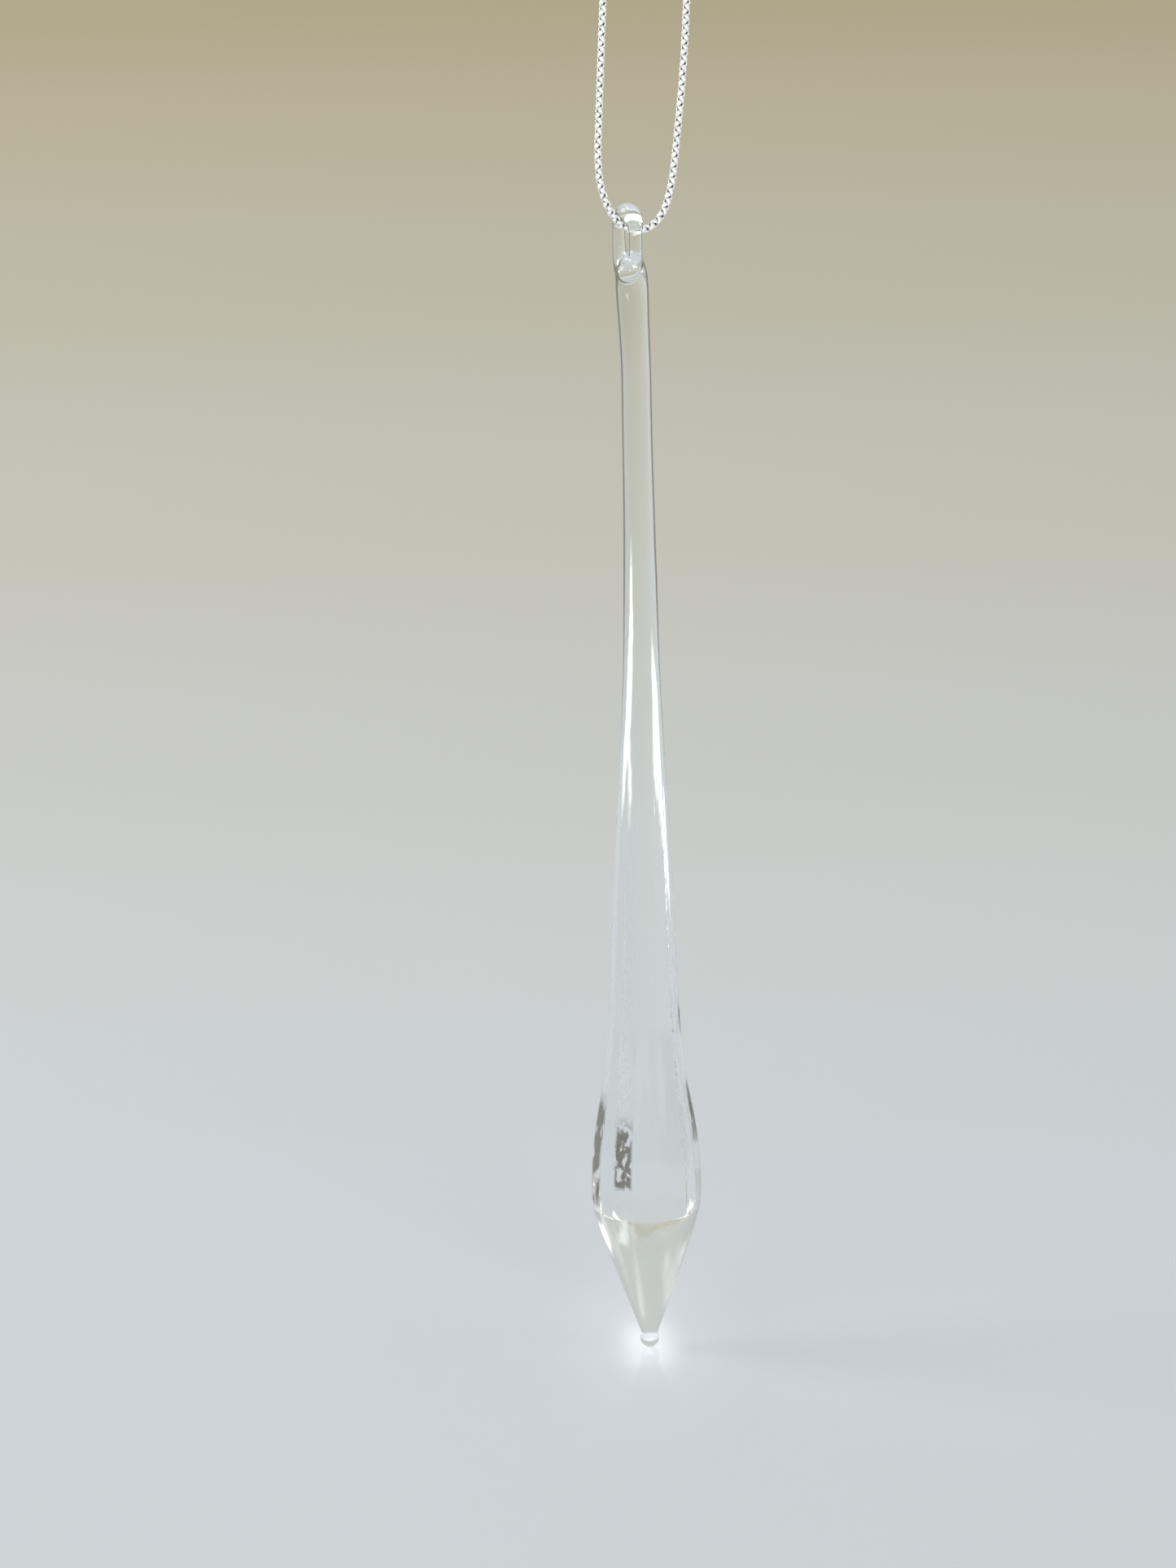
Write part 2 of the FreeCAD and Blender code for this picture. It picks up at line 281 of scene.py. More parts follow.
def cord_mesh(name, stretches):
    """One mesh of several braided stretches, with a map of length and way round on its corners.

    Crest says how far out of the plait each point is: about 1 on the crowns of the yarns, less in the gaps. The
    yarn's painted shade in the gaps is read from it.
    """
    verts, faces, uvs, crests = [], [], [], []
    for more_verts, more_faces, more_uvs, more_crests in stretches:
        first = len(verts)
        verts += more_verts
        uvs += more_uvs
        crests += more_crests
        faces += [tuple(first + index for index in face) for face in more_faces]
    made = new_mesh(name, verts, faces)
    layer = made.data.uv_layers.new(name="Yarn")
    corners = np.empty(len(made.data.loops), int)
    made.data.loops.foreach_get("vertex_index", corners)
    found = np.array(uvs)[corners]
    # The last column of faces closes the way round, so its far corners count one full turn.
    starts = np.empty(len(made.data.polygons), int)
    made.data.polygons.foreach_get("loop_start", starts)
    sizes = np.empty(len(made.data.polygons), int)
    made.data.polygons.foreach_get("loop_total", sizes)
    for start, size in zip(starts, sizes):
        if size == 4 and np.ptp(found[start : start + 4, 1]) > 0.5:
            low = found[start : start + 4, 1] < 0.5
            found[start : start + 4, 1][low] += 1.0
    layer.data.foreach_set("uv", found.astype(np.float32).ravel())
    crest = made.data.attributes.new("Crest", "FLOAT", "POINT")
    crest.data.foreach_set("value", np.array(crests, np.float32))
    return made


def route_line(name, points):
    """Points on the smooth line of a cord's route, in millimetres."""
    curve = bpy.data.curves.new(name, "CURVE")
    curve.dimensions = "3D"
    curve.resolution_u = 24
    line = curve.splines.new("NURBS")
    line.points.add(len(points) - 1)
    for point, place in zip(line.points, points):
        point.co = (*(value * MM for value in place), 1.0)
    line.order_u = 3
    line.use_endpoint_u = True
    holder = bpy.data.objects.new(name, curve)
    bpy.context.scene.collection.objects.link(holder)
    bpy.context.view_layer.update()
    mesh = bpy.data.meshes.new_from_object(holder)
    found = np.array([vertex.co for vertex in mesh.vertices]) / MM
    bpy.data.objects.remove(holder)
    bpy.data.meshes.remove(mesh)
    return found


KNOT_HEIGHT = 4.6
KNOT_SPAN = 1.92  # how far the knot's curve runs each way from its middle


def knot_strand(side):
    """One of the two strands that run together through the overhand knot, up to its cut end."""
    t = np.linspace(-KNOT_SPAN, KNOT_SPAN, 19)
    up, across = 0.62 * (t**3 - 3 * t), 0.56 * (t**4 - 4 * t**2 + 2.0)
    deep = 0.075 * (t**5 - 10 * t)
    slope = np.stack([np.gradient(across), np.gradient(up)], 1)
    slope /= np.linalg.norm(slope, axis=1)[:, None]
    gap = 0.46 * side
    x = across + slope[:, 1] * gap
    z = KNOT_HEIGHT + up - slope[:, 0] * gap
    through = np.stack([x, deep, z], 1)
    start, end = LOOP[0 if side < 0 else -1], TAILS[0 if side < 0 else 1]
    return spline([start, (start[0], 0.0, start[2] + 0.6), *through[2:-2], *end], 400)


loop_line = route_line("loop_route", LOOP)
cord = cord_mesh("silver_cord", [braid(loop_line)])
knot = cord_mesh(
    "cord_knot_tied",
    [braid(knot_strand(side), fray_from=fray, phase=0.3 * side) for side, fray in ((-1, 27.0), (1, 27.0))],
)
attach(knot, "hanger")
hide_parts("cord_left_strand", "cord_right_strand", "cord_bight")
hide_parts("cord_knot", "cord_tails")
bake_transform(cord)

# ---------------------------------------------------------------- glass body


def outline_table():
    """Depths and radii down the whole glass, with the shoulder and the neck of the bead eased."""
    top = spline(OUTLINE, 900)
    bead_centre = POINT[0] + math.sqrt(BEAD_RADIUS**2 - POINT[1] ** 2)
    start = math.asin(POINT[1] / BEAD_RADIUS)
    sweep = np.linspace(start, math.pi, 60)
    bead = np.stack([bead_centre - BEAD_RADIUS * np.cos(sweep), BEAD_RADIUS * np.sin(sweep)], 1)
    line = np.concatenate([top, bead])
    line = np.concatenate([line, np.zeros((len(line), 1))], 1)
    even, along = resample(line, 0.05)
    depth, radius = even[:, 0], even[:, 1]
    for middle, reach, sigma in ((OUTLINE[-1][0], 7.0, 1.8), (POINT[0], 1.0, 0.2)):
        width = int(4 * sigma / 0.05)
        kernel = np.exp(-0.5 * (np.arange(-width, width + 1) * 0.05 / sigma) ** 2)
        kernel /= kernel.sum()
        eased = np.stack([np.convolve(np.pad(v, width, "edge"), kernel, "valid") for v in (depth, radius)])
        share = smooth(0.0, 0.3 * reach, reach - np.abs(depth - middle))
        depth = depth + (eased[0] - depth) * share
        radius = radius + (eased[1] - radius) * share
    return depth, radius


TABLE_DEPTH, TABLE_RADIUS = outline_table()
FLAT_LINE = np.concatenate([spline(FLAT, 400), [FLAT_END, FLAT_FADE]])
TIP_DEPTH = TABLE_DEPTH[-1]


def radius_at(depth):
    """The radius of the outline at a depth."""
    return np.interp(depth, TABLE_DEPTH, TABLE_RADIUS)


def axis_at(depth):
    """How far the hand-drawn stem and body stray from a straight axis."""
    lean = 0.36 * (1 - smooth(6.0, 20.0, depth))
    bow = 0.14 * np.sin((depth - 20.0) / 62.0 * math.pi) * smooth(20.0, 40.0, depth)
    bow = bow * (1 - smooth(128.0, 144.0, depth))
    side = bow - lean
    return np.stack([side * math.cos(AZIMUTH), side * math.sin(AZIMUTH)], -1)


def body_radius(angle, depth):
    """The melted eight-sided section: flats, soft edges between them, and the slight ripple of drawn glass."""
    step = 2 * math.pi / FACETS
    wander = 0.018 * np.sin(depth / 9.0) + 0.012 * np.sin(depth / 3.7 + 1.0)
    local = (angle - FACET_TURN - wander) / step
    number = np.floor(local)
    off = (local - number - 0.5) * step
    uneven = 1 + 0.006 * np.sin(number * 2.4 + 0.7) + 0.004 * np.sin(number * 5.1 + depth / 11.0)
    flat = np.interp(depth, FLAT_LINE[:, 0], FLAT_LINE[:, 1], left=99.0, right=99.0)
    flat = np.where(depth < FLAT[0][0], 99.0, flat) * uneven / np.cos(off)
    plain = radius_at(depth)
    soft = 0.05 * np.minimum(1.0, plain / 3.0) + 0.25 * smooth(121.0, 129.0, depth)
    gap = np.clip((flat - plain) / soft, -40.0, 40.0)
    found = plain - soft * np.log1p(np.exp(-gap))
    drawn = smooth(20.0, 35.0, depth) * (1 - smooth(126.0, 134.0, depth))
    ripple = 0.010 * np.sin(3 * angle + depth / 5.3) * np.sin(depth / 2.9 + 0.6 * np.sin(depth / 7.0))
    ripple += 0.006 * np.sin(5 * angle - depth / 3.1) * np.sin(depth / 1.7)
    return found + ripple * drawn * np.minimum(1.0, plain / 4.0)


def section_angles():
    """Angles round the section, close together where an edge runs and wider on the flats."""
    share = np.linspace(0.0, 1.0, 21)[:-1]
    eased = share - 0.62 * np.sin(2 * math.pi * share) / (2 * math.pi)
    step = 2 * math.pi / FACETS
    return np.concatenate([FACET_TURN + (i + eased) * step for i in range(FACETS)])


def body_rings():
    """Depths of the rings, closer together where the outline turns."""
    stem = np.arange(SEAM_DEPTH, 100.0, 0.45)
    swell = np.arange(100.0, 126.0, 0.25)
    shoulder = np.arange(126.0, 130.0, 0.1)
    cone = np.arange(130.0, NECK_DEPTH, 0.3)
    sweep = np.linspace(0.0, 1.0, 42)[:-1]
    bead = NECK_DEPTH + (TIP_DEPTH - NECK_DEPTH) * np.sin(sweep * math.pi / 2)
    return np.concatenate([stem, swell, shoulder, cone, bead])


def glass_body():
    """Vertices and faces of the glass from the seam in the stem down to the tip of the bead."""
    angles, depths = section_angles(), body_rings()
    grid_depth, grid_angle = np.meshgrid(depths, angles, indexing="ij")
    radius = body_radius(grid_angle, grid_depth)
    middle = axis_at(grid_depth)
    x = middle[..., 0] + radius * np.cos(grid_angle)
    y = middle[..., 1] + radius * np.sin(grid_angle)
    points = np.stack([x, y, BEND_Z - grid_depth], -1).reshape(-1, 3)
    around = len(angles)
    faces = [tuple(reversed(face)) for face in ring_faces(len(depths), around)]
    tip = len(points)
    points = np.concatenate([points, [[*axis_at(TIP_DEPTH), BEND_Z - TIP_DEPTH]]])
    last = tip - around
    faces += [(last + (j + 1) % around, last + j, tip) for j in range(around)]
    return points, faces, around


# ---------------------------------------------------------------- glass eye

EYE_Y = 0.9
EYE_GAP = 2.05
THREAD = 0.775
ARCH_DROP = 0.5
ARCH_POINTS = 15
CROWN = 0.50  # how much thicker the thread is over the top of the arch
DOME_DEPTH = 7.0  # where the stem starts to round over
DOME_HEIGHT = 3.9
STEM_FILLET = 0.8
PRESS_FILLET = 0.3  # where the thread's end is pressed on to the stem
CAGE_VOXEL = 0.085


def eye_thread():
    """Centres and radii of the glass thread: out of the stem, up the back, over, and down on to the front."""
    lean_x, lean_y = axis_at(5.0)
    back = lean_y + EYE_Y + EYE_GAP / 2 + THREAD
    front = lean_y + EYE_Y - EYE_GAP / 2 - THREAD
    rise = [
        (lean_x, lean_y, 10.5, 1.1),
        (lean_x, lean_y + 0.3, 8.4, 1.3),
        (lean_x, lean_y + 0.9, 6.9, 1.3),
        (lean_x, back - 0.75, 5.6, 1.12),
        (lean_x, back - 0.25, 4.5, 0.93),
        (lean_x, back, 3.3, 0.82),
        (lean_x, back, 2.2, 0.79),
        (lean_x, back, ARCH_DROP + 0.5, THREAD),
    ]
    turn = np.linspace(0.0, math.pi, ARCH_POINTS)
    thick = THREAD + CROWN * np.exp(-(((turn - math.radians(104)) / math.radians(44)) ** 2))
    out = EYE_GAP / 2 + thick
    middle = lean_y + EYE_Y
    level = np.full(ARCH_POINTS, lean_x)
    arch = np.stack([level, middle + out * np.cos(turn), ARCH_DROP - out * np.sin(turn), thick], 1)
    fall = [
        (lean_x, front, ARCH_DROP + 0.6, 0.79),
        (lean_x, front, 2.0, 0.80),
        (lean_x, front, 3.1, 0.80),
        (lean_x - 0.08, front - 0.05, 4.0, 0.86),
        (lean_x - 0.45, front - 0.10, 4.7, 1.00),
        (lean_x - 0.85, front + 0.00, 5.15, 1.20),
        (lean_x - 1.15, front + 0.10, 5.35, 1.34),
    ]
    found = spline(np.concatenate([rise, arch, fall]), 460)
    return found[:, :3] * (1, 1, -1) + (0, 0, BEND_Z), found[:, 3]


def soft_min(a, b, blend):
    """The nearer of two distances, eased where they are close, which fillets the joint of two shapes."""
    share = np.clip(0.5 + 0.5 * (b - a) / blend, 0.0, 1.0)
    return b + (a - b) * share - blend * share * (1 - share)


def stem_distance(points):
    """Distance to the stem with its rounded top."""
    depth = BEND_Z - points[:, 2]
    held = np.maximum(depth, DOME_DEPTH)
    middle = axis_at(held)
    flat = np.hypot(points[:, 0] - middle[:, 0], points[:, 1] - middle[:, 1])
    return np.hypot(flat, (held - depth) * radius_at(DOME_DEPTH) / DOME_HEIGHT) - radius_at(held)


def thread_distance(points, centres, radii):
    """Distance to the nearest of the balls strung along a thread."""
    middle = centres.mean(axis=0)
    near = (points - middle).astype(np.float32)
    far = (centres - middle).astype(np.float32)
    squared = (near**2).sum(axis=1)[:, None] + (far**2).sum(axis=1)[None] - 2 * near @ far.T
    return (np.sqrt(np.maximum(squared, 1e-6)) - radii.astype(np.float32)).min(axis=1).astype(float)


THREAD_LINE, THREAD_RADII = eye_thread()
RISE_END = 150  # thread points that belong to the draw out of the stem


def eye_distance(points):
    """Distance to the whole top of the glass, with fillets as flame-worked glass has."""
    stem = stem_distance(points)
    rise = thread_distance(points, THREAD_LINE[:RISE_END], THREAD_RADII[:RISE_END])
    rest = thread_distance(points, THREAD_LINE[RISE_END:], THREAD_RADII[RISE_END:])
    joined = soft_min(stem, rise, STEM_FILLET)
    return soft_min(joined, rest, PRESS_FILLET)


def slope_of(points, step=0.02):
    """The direction in which the distance grows."""
    found = np.empty_like(points)
    for axis in range(3):
        shift = np.zeros(3)
        shift[axis] = step
        found[:, axis] = (eye_distance(points + shift) - eye_distance(points - shift)) / (2 * step)
    return found


def ball(centre, radius):
    """A rough ball, for the cage that the top of the glass is fitted from."""
    made = bmesh.new()
    bmesh.ops.create_icosphere(made, subdivisions=2, radius=radius)
    points = np.array([vertex.co for vertex in made.verts]) + centre
    faces = [tuple(vertex.index for vertex in face.verts) for face in made.faces]
    made.free()
    return points, faces


def eye_cage():
    """Overlapping balls along the stem's top and the thread, remeshed to one skin."""
    depths = np.arange(DOME_DEPTH, SEAM_DEPTH + 2.5, 0.35)
    centres = [((*axis_at(d), BEND_Z - d), float(radius_at(d))) for d in depths]
    for rise in np.arange(0.3, 0.95, 0.1):
        narrow = float(radius_at(DOME_DEPTH)) * math.sqrt(1 - rise**2)
        centres.append(((*axis_at(DOME_DEPTH), BEND_Z - DOME_DEPTH + DOME_HEIGHT * rise), narrow))
    centres += [(tuple(c), float(r)) for c, r in zip(THREAD_LINE[::4], THREAD_RADII[::4])]
    points, faces = [], []
    for centre, radius in centres:
        more, more_faces = ball(np.array(centre), radius)
        first = sum(len(p) for p in points)
        points.append(more)
        faces += [tuple(first + index for index in face) for face in more_faces]
    cage = new_mesh("eye_cage", np.concatenate(points), faces)
    skin = cage.modifiers.new("skin", "REMESH")
    skin.mode = "VOXEL"
    skin.voxel_size = CAGE_VOXEL * MM
    skin.adaptivity = 0.0
    now = bpy.context.evaluated_depsgraph_get()
    mesh = bpy.data.meshes.new_from_object(cage.evaluated_get(now), depsgraph=now)
    bpy.data.objects.remove(cage)
    return mesh


def relax(points, edges, rounds):
    """Evens the vertices out along their edges."""
    count = np.bincount(edges.ravel(), minlength=len(points))[:, None]
    for _ in range(rounds):
        total = np.zeros_like(points)
        np.add.at(total, edges[:, 0], points[edges[:, 1]])
        np.add.at(total, edges[:, 1], points[edges[:, 0]])
        points = 0.5 * points + 0.5 * total / count
    return points


def glass_top():
    """The worked top of the glass: a skin fitted exactly to its distance field, cut off level at the seam."""
    mesh = eye_cage()
    points = np.empty(len(mesh.vertices) * 3)
    mesh.vertices.foreach_get("co", points)
    points = points.reshape(-1, 3) / MM
    edges = np.empty(len(mesh.edges) * 2, int)
    mesh.edges.foreach_get("vertices", edges)
    edges = edges.reshape(-1, 2)
    for rounds in (6, 3, 0):
        points = relax(points, edges, rounds)
        slope = slope_of(points)
        length = np.maximum((slope**2).sum(axis=1), 0.05)
        for _ in range(2):
            points = points - slope * (eye_distance(points) / length)[:, None]
    mesh.vertices.foreach_set("co", (points * MM).ravel())
    work = bmesh.new()
    work.from_mesh(mesh)
    bpy.data.meshes.remove(mesh)
    cut = (BEND_Z - SEAM_DEPTH + 0.25) * MM
    everything = work.verts[:] + work.edges[:] + work.faces[:]
    bmesh.ops.bisect_plane(
        work, geom=everything, plane_co=(0, 0, cut), plane_no=(0, 0, -1), clear_outer=True
    )
    return work


def glass_icicle():
    """The whole glass as one closed skin: the worked top bridged to the ruled body."""
    work = glass_top()
    points, faces, around = glass_body()
    verts = [work.verts.new(tuple(p * MM)) for p in points]
    for face in faces:
        work.faces.new([verts[index] for index in face])
    work.edges.ensure_lookup_table()
    rims = [edge for edge in work.edges if edge.is_boundary]
    bmesh.ops.bridge_loops(work, edges=rims)
    bmesh.ops.recalc_face_normals(work, faces=work.faces[:])
    mesh = bpy.data.meshes.new("glass_icicle")
    work.to_mesh(mesh)
    work.free()
    mesh.polygons.foreach_set("use_smooth", [True] * len(mesh.polygons))
    made = bpy.data.objects.new("glass_icicle", mesh)
    bpy.context.scene.collection.objects.link(made)
    return made


icicle = glass_icicle()
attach(icicle, "icicle")
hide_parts("glass_drop", "hanging_eye", "tip_bead")

# ---------------------------------------------------------------- materials


def material(name):
    """A new material, its node tree and its shader."""
    made = bpy.data.materials.new(name)
    made.use_nodes = True
    tree = made.node_tree
    shader = next(item for item in tree.nodes if item.type == "BSDF_PRINCIPLED")
    return made, tree, shader


def node(tree, kind, **values):
    """A new node with some of its settings."""
    made = tree.nodes.new(kind)
    for name, value in values.items():
        setattr(made, name, value)
    return made


def feed(tree, socket, value):
    """Gives a socket a number, a colour or another socket's value."""
    if isinstance(value, (int, float, tuple)):
        socket.default_value = value
    else:
        tree.links.new(value, socket)


def spanned(tree, value, low, high, to_low=0.0, to_high=1.0, kind="SMOOTHSTEP"):
    """A value with its range from low to high turned to to_low to to_high, and held beyond it."""
    made = node(tree, "ShaderNodeMapRange", interpolation_type=kind)
    for name, number in zip(("From Min", "From Max", "To Min", "To Max"), (low, high, to_low, to_high)):
        made.inputs[name].default_value = number
    tree.links.new(value, made.inputs["Value"])
    return made.outputs["Result"]


def reckoned(tree, operation, first, second, **settings):
    """Arithmetic on two values, each a number or a socket."""
    made = node(tree, "ShaderNodeMath", operation=operation, **settings)
    feed(tree, made.inputs[0], first)
    feed(tree, made.inputs[1], second)
    return made.outputs["Value"]


def vector_of(tree, operation, value, by=None):
    """Arithmetic on a vector and, where it takes one, a fixed second vector."""
    made = node(tree, "ShaderNodeVectorMath", operation=operation)
    tree.links.new(value, made.inputs[0])
    if by is not None:
        made.inputs[1].default_value = by
    return made.outputs["Value" if operation in ("DOT_PRODUCT", "LENGTH") else "Vector"]


def parts_of(tree, vector):
    """The X, Y and Z sockets of a vector."""
    made = node(tree, "ShaderNodeSeparateXYZ")
    tree.links.new(vector, made.inputs["Vector"])
    return made.outputs


def moved(tree, vector, scale=(1, 1, 1), rotation=(0, 0, 0)):
    """A vector scaled and turned."""
    made = node(tree, "ShaderNodeMapping")
    made.inputs["Scale"].default_value = scale
    made.inputs["Rotation"].default_value = rotation
    tree.links.new(vector, made.inputs["Vector"])
    return made.outputs["Vector"]


def noise(tree, vector, scale, detail):
    made = node(tree, "ShaderNodeTexNoise")
    made.inputs["Scale"].default_value = scale
    made.inputs["Detail"].default_value = detail
    tree.links.new(vector, made.inputs["Vector"])
    return made.outputs["Fac"]


def bumped(tree, height, strength, distance, normal=None):
    """The normal of a skin raised by a height, over another normal where there is one."""
    made = node(tree, "ShaderNodeBump")
    made.inputs["Strength"].default_value = strength
    made.inputs["Distance"].default_value = distance
    tree.links.new(height, made.inputs["Height"])
    if normal is not None:
        tree.links.new(normal, made.inputs["Normal"])
    return made.outputs["Normal"]


def ramped(tree, value, low, high):
    """A colour that goes from one (position, colour) to another."""
    made = node(tree, "ShaderNodeValToRGB")
    for element, (position, colour) in zip(made.color_ramp.elements, (low, high)):
        element.position = position
        element.color = colour
    tree.links.new(value, made.inputs["Fac"])
    return made.outputs["Color"]


def mixed_colour(tree, factor, first, second, kind="MIX"):
    """Two colours mixed, each a colour or a socket."""
    made = node(tree, "ShaderNodeMix", data_type="RGBA", blend_type=kind)
    for name, value in (("Factor", factor), ("A", first), ("B", second)):
        feed(tree, made.inputs[name], value)
    return made.outputs["Result"]


def height_of(depth):
    """The height in metres of a depth down the glass."""
    return (BEND_Z - depth) * MM


# Strips along the body: direction and half width in degrees, depths where each begins, is full and ends, grain
# in 1/m, height of the grain in mm, and the depth from which it also has painted shade. They are marks of the
# shaping tool, except the second: that one is painted shade for a dark edge seen in the glass from the front, and
# looks like a stain from behind. The first's darkness is painted shade too, for the dark seen in the glass there.
STRIKES = [
    (-153.0, 11.0, 84.0, 112.0, 123.3, 1700.0, 0.22, 114.0),
    (157.0, 15.0, 109.0, 114.0, 126.5, 700.0, 0.02, 111.5),
    (-75.0, 4.0, 60.0, 95.0, 127.0, 1300.0, 0.12, None),
    (-100.0, 6.0, 55.0, 85.0, 105.0, 900.0, 0.08, None),
]
STRIKE_END = 0.6  # over which a strip stops
DARKENING = 2.5  # over which a dark strip gets its full darkness
# The glass's dark rim is painted shade in its colour.
RIM_DEPTHS = (40.0, 75.0)  # between which the stem's dark rim gives way to the body's fainter one
HAZE_DEPTHS = (125.0, 131.0)  # between which the cone's haze comes in
CLEAR_DEPTHS = (144.5, 141.0)  # and below which it is gone again
TURNS_INSIDE = 4.5  # light that has turned more often than this inside the glass goes straight out
SHADOW_LET_THROUGH = 0.75


def painted_rim_shade(tree, height):
    """How much painted shade darkens the rim where light goes in: thin on the stem, faint on the body, none facing
    up.
    """
    skin = node(tree, "ShaderNodeNewGeometry")
    slant = node(tree, "ShaderNodeLayerWeight").outputs["Facing"]
    entering = reckoned(tree, "SUBTRACT", slant, skin.outputs["Backfacing"], use_clamp=True)
    stem, body = RIM_DEPTHS
    fade = spanned(tree, height, height_of(body), height_of(stem), -0.30, 0.0)
    level = spanned(tree, parts_of(tree, skin.outputs["Normal"])["Z"], 0.30, 0.75, 0.0, -0.40)
    return reckoned(tree, "ADD", reckoned(tree, "ADD", entering, fade), level)


def strips(tree, place, height, normal):
    """The strips' raised normal, and how much painted shade darkens them."""
    outward = vector_of(tree, "NORMALIZE", vector_of(tree, "MULTIPLY", place, (1, 1, 0)))
    painted_shade = 0.0
    for turn, reach, top, full, bottom, size, deep, dark in STRIKES:
        direction = (math.cos(math.radians(turn)), math.sin(math.radians(turn)), 0)
        towards = vector_of(tree, "DOT_PRODUCT", outward, direction)
        edge, inner = math.cos(math.radians(reach)), math.cos(math.radians(reach * 0.7))
        side = spanned(tree, towards, edge, inner, kind="LINEAR")
        begin = spanned(tree, height, height_of(top), height_of(full), kind="LINEAR")
        end = spanned(tree, height, height_of(bottom + STRIKE_END), height_of(bottom), kind="LINEAR")
        mask = reckoned(tree, "MULTIPLY", reckoned(tree, "MULTIPLY", begin, end), side)
        chips = noise(tree, vector_of(tree, "MULTIPLY", place, (1, 1, 0.55)), size, 1.0)
        normal = bumped(tree, reckoned(tree, "MULTIPLY", chips, mask), 1.0, deep * MM, normal)
        # Painted shade on the first and second strips, patchy with the grain.
        if dark is not None:
            low = spanned(tree, height, height_of(dark), height_of(dark + DARKENING), kind="LINEAR")
            patchy = reckoned(tree, "MULTIPLY", mask, spanned(tree, chips, 0.62, 0.52, kind="LINEAR"))
            painted_shade = reckoned(tree, "MAXIMUM", reckoned(tree, "MULTIPLY", patchy, low), painted_shade)
    return normal, painted_shade


def glass_material():
    """Clear flame-polished glass with the faint waves that drawing leaves in its skin, and painted shade on its
    rim and two strips.
    """
    made, tree, shader = material("clear_glass")
    shader.inputs["IOR"].default_value = 1.51
    shader.inputs["Transmission Weight"].default_value = 1.0
    place = node(tree, "ShaderNodeTexCoord").outputs["Object"]
    height = parts_of(tree, place)["Z"]
    waves = noise(tree, moved(tree, place, scale=(700, 700, 190)), 1.0, 2.0)
    normal, painted_shade = strips(tree, place, height, bumped(tree, waves, 0.2, 0.00015))
    tree.links.new(normal, shader.inputs["Normal"])
    # Painted shade: the colour goes dark where the glass is seen aslant, standing for the dark edges of clear
    # glass.
    clear, dark = (0.48, (0.975, 0.99, 0.98, 1)), (0.62, (0.07, 0.06, 0.04, 1))
    rim = ramped(tree, painted_rim_shade(tree, height), clear, dark)
    # Painted shade: the dark strips, mixed in a dark brown over the rim's colour.
    colour = mixed_colour(tree, painted_shade, rim, (0.10, 0.095, 0.065, 1))
    tree.links.new(colour, shader.inputs["Base Color"])
    # The cone has a faint haze, and the bead below it is clear.
    hazy = spanned(tree, height, *(height_of(depth) for depth in HAZE_DEPTHS), 0.0, 0.13)
    clearing = spanned(tree, height, *(height_of(depth) for depth in CLEAR_DEPTHS))
    tree.links.new(reckoned(tree, "MULTIPLY", hazy, clearing), shader.inputs["Roughness"])
    # Clear glass lets most of the light through, so its shadow is faint. Light that keeps turning inside it is let
    # straight out, a stand-in for tracing it on: otherwise the foot of the eye has black patches.
    path = node(tree, "ShaderNodeLightPath")
    shadow = reckoned(tree, "MULTIPLY", path.outputs["Is Shadow Ray"], SHADOW_LET_THROUGH)
    caught = reckoned(tree, "GREATER_THAN", path.outputs["Ray Depth"], TURNS_INSIDE)
    mixed = node(tree, "ShaderNodeMixShader")
    output = next(item for item in tree.nodes if item.type == "OUTPUT_MATERIAL")
    tree.links.new(reckoned(tree, "MAXIMUM", shadow, caught), mixed.inputs[0])
    tree.links.new(shader.outputs["BSDF"], mixed.inputs[1])
    tree.links.new(node(tree, "ShaderNodeBsdfTransparent").outputs["BSDF"], mixed.inputs[2])
    tree.links.new(mixed.outputs["Shader"], output.inputs["Surface"])
    return made


def cord_material():
    """Silver metallic yarn: fine filaments along each yarn, brighter and duller as they catch the light, and
    painted shade in the gaps of the plait.
    """
    made, tree, shader = material("silver_yarn")
    shader.inputs["Metallic"].default_value = 0.35
    along = node(tree, "ShaderNodeUVMap", uv_map="Yarn").outputs["UV"]
    strands = noise(tree, moved(tree, along, (1.1, 9.0, 1.0), (0, 0, math.radians(12))), 1.6, 4.0)
    colour = ramped(tree, strands, (0.3, (0.74, 0.74, 0.72, 1)), (0.62, (1.0, 1.0, 0.99, 1)))
    crest = node(tree, "ShaderNodeAttribute", attribute_name="Crest").outputs["Fac"]
    # Painted shade: the colour goes dark where the yarns sink into the gaps of the plait.
    gap = spanned(tree, crest, 0.50, 0.84, 0.04, 1.0)
    shade = mixed_colour(tree, 1.0, colour, gap, kind="MULTIPLY")
    rough = spanned(tree, strands, 0.0, 1.0, 0.2, 0.45, kind="LINEAR")
    tree.links.new(shade, shader.inputs["Base Color"])
    tree.links.new(rough, shader.inputs["Roughness"])
    tree.links.new(bumped(tree, strands, 0.7, 0.00005), shader.inputs["Normal"])
    return made


icicle.data.materials.append(glass_material())
yarn = cord_material()
cord.data.materials.append(yarn)
knot.data.materials.append(yarn)

# ---------------------------------------------------------------- stage and light

PAPER_GAIN = 1.105
FLOOR_Z = BEND_Z - TIP_DEPTH - 0.05
FLOOR_REACH = 4000.0
# How far behind the object, in metres, the paper has each colour
PAPER = [
    (-0.10, (0.612, 0.632, 0.672)),
    (0.05, (0.618, 0.638, 0.685)),
    (0.15, (0.615, 0.633, 0.645)),
    (0.25, (0.602, 0.594, 0.580)),
    # Painted shade from here: the paper darkens as far as 0.65 m behind, and is paler again beyond.
    (0.37, (0.580, 0.558, 0.497)),
    (0.50, (0.550, 0.508, 0.418)),
    (0.57, (0.535, 0.478, 0.352)),
    (0.65, (0.492, 0.420, 0.286)),
    (0.72, (0.580, 0.580, 0.550)),
    (1.10, (0.590, 0.600, 0.590)),
]


